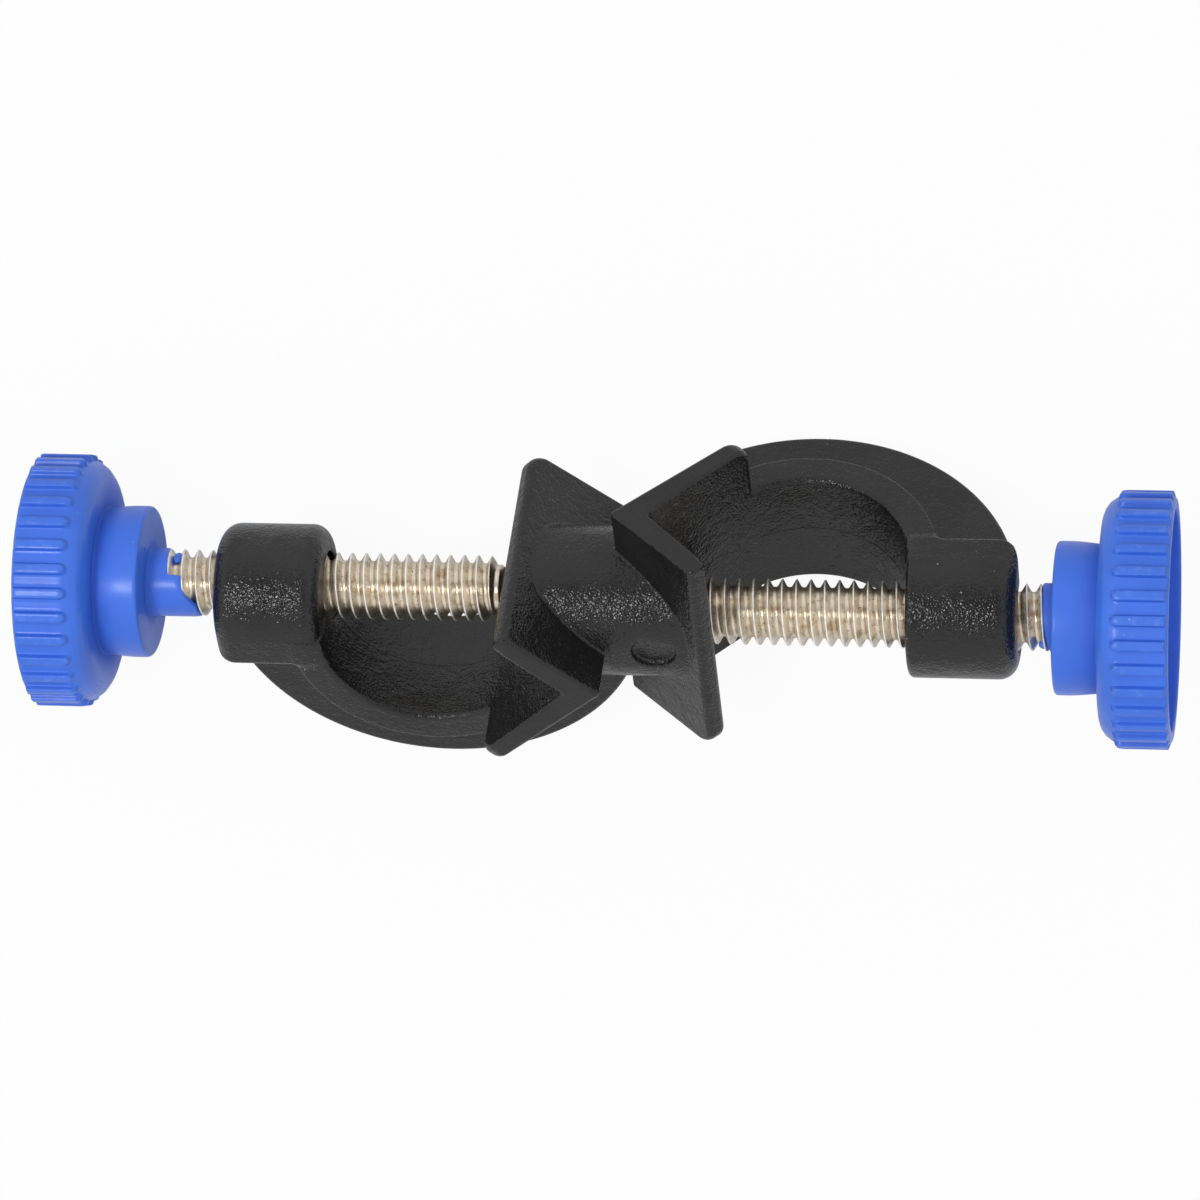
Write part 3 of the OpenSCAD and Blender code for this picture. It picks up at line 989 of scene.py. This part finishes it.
def add_sky(scene, s):
    """Soft light from all round, strongest from overhead. What looks at the sky itself sees plain white."""
    world = bpy.data.worlds.new("sky")
    scene.world = world
    world.use_nodes = True
    r = Recipe(world.node_tree)
    path = r.add("LightPath").outputs
    seen = r.maths("MAXIMUM", path["Is Camera Ray"], path["Is Glossy Ray"])
    upward = r.add("SeparateXYZ", r.add("TexCoord").outputs["Object"]).outputs["Z"]
    fading = r.add("MapRange", upward, 0.0, 1.0, s.horizon, s.sky).outputs[0]
    strength = r.add("MapRange", seen, 0.0, 1.0, fading, 1.0).outputs[0]
    r.end(r.add("Background", Color=(1.0, 1.0, 1.0, 1.0), Strength=strength), "OutputWorld")


def add_lamp(s):
    """A small round lamp that looks at the origin."""
    data = bpy.data.lights.new("overhead lamp", "AREA")
    data.shape = "DISK"
    data.size = s.lamp_size / MM
    data.energy = s.lamp_power
    lamp = bpy.data.objects.new("overhead lamp", data)
    place = Vector((s.lamp_x, s.lamp_y, s.lamp_z)) / MM
    lamp.matrix_world = Matrix.Translation(place) @ place.to_track_quat("Z", "Y").to_matrix().to_4x4()
    bpy.context.scene.collection.objects.link(lamp)


def add_card(s):
    """A round card, grey in its middle and white at its rim, that only reflections show: it stands for
    the dark room above a bright table."""
    columns = 64
    turn = np.arange(columns) / columns * TURN
    radius = s.card_d / 2
    points = np.stack([radius * np.cos(turn), radius * np.sin(turn), np.full(columns, s.card_height)], 1)
    mesh = bpy.data.meshes.new("grey card")
    mesh.from_pydata(points / MM, [], [list(range(columns))])
    card = bpy.data.objects.new("grey_card", mesh)
    bpy.context.scene.collection.objects.link(card)
    material, r, where = new_recipe("grey card")
    away = r.add("VectorMath", where, (0.0, 0.0, s.card_height / MM), operation="DISTANCE").outputs["Value"]
    grey = r.ramp(away, s.card_middle * radius / MM, radius / MM, s.card_grey, 1.0)
    r.end(r.add("Emission", Color=(1.0, 1.0, 1.0, 1.0), Strength=grey))
    mesh.materials.append(material)
    card.visible_camera = False
    card.visible_diffuse = False
    card.visible_shadow = False
    card.visible_transmission = False


def add_camera(scene, s):
    """The camera looks down, leaning a little towards the right knob and the right arm."""
    data = bpy.data.cameras.new("camera")
    data.lens = s.lens
    data.sensor_width = 36.0
    data.clip_start, data.clip_end = 0.05, 20.0
    camera = bpy.data.objects.new("camera", data)
    back = Vector(
        (math.sin(s.yaw) * math.cos(s.pitch), math.sin(s.pitch), math.cos(s.yaw) * math.cos(s.pitch))
    )
    right = Vector((0, 1, 0)).cross(back).normalized()
    up = back.cross(right)
    turned = Matrix.Rotation(s.roll, 3, back)
    right, up = turned @ right, turned @ up
    aim = (Vector(NECK) + Vector((s.aim_x, 0, 0))) / MM
    pose = Matrix((right, up, back)).transposed().to_4x4()
    pose.translation = aim + back * s.distance / MM
    camera.matrix_world = pose
    scene.collection.objects.link(camera)
    scene.camera = camera


# Add-on

SETTINGS = {
    "boss_head_casting": CastingSettings,
    "boss_head_screws": ScrewSettings,
    "boss_head_knobs": KnobSettings,
    "boss_head_stage": StageSettings,
}
OPERATORS = (
    OBJECT_OT_boss_head_casting,
    OBJECT_OT_boss_head_screws,
    OBJECT_OT_boss_head_knobs,
    OBJECT_OT_boss_head_stage,
)


class VIEW3D_PT_boss_head(bpy.types.Panel):
    """The clamp's pieces, with the settings of each"""

    bl_label = "Boss head clamp"
    bl_space_type = "VIEW_3D"
    bl_region_type = "UI"
    bl_category = "Boss head"

    def draw(self, context):
        for operator, (name, group) in zip(OPERATORS, SETTINGS.items()):
            box = self.layout.box()
            box.operator(operator.bl_idname)
            for key in group.__annotations__:
                box.prop(getattr(context.scene, name), key)


def register():
    for name, group in SETTINGS.items():
        bpy.utils.register_class(group)
        setattr(bpy.types.Scene, name, PointerProperty(type=group))
    for made in (*OPERATORS, VIEW3D_PT_boss_head):
        bpy.utils.register_class(made)


def unregister():
    for made in reversed((*OPERATORS, VIEW3D_PT_boss_head)):
        bpy.utils.unregister_class(made)
    for name, group in reversed(SETTINGS.items()):
        delattr(bpy.types.Scene, name)
        bpy.utils.unregister_class(group)


def main():
    register()
    bpy.ops.object.boss_head_casting()
    bpy.ops.object.boss_head_screws()
    bpy.ops.object.boss_head_knobs()
    bpy.ops.object.boss_head_stage()


if __name__ == "__main__":
    main()
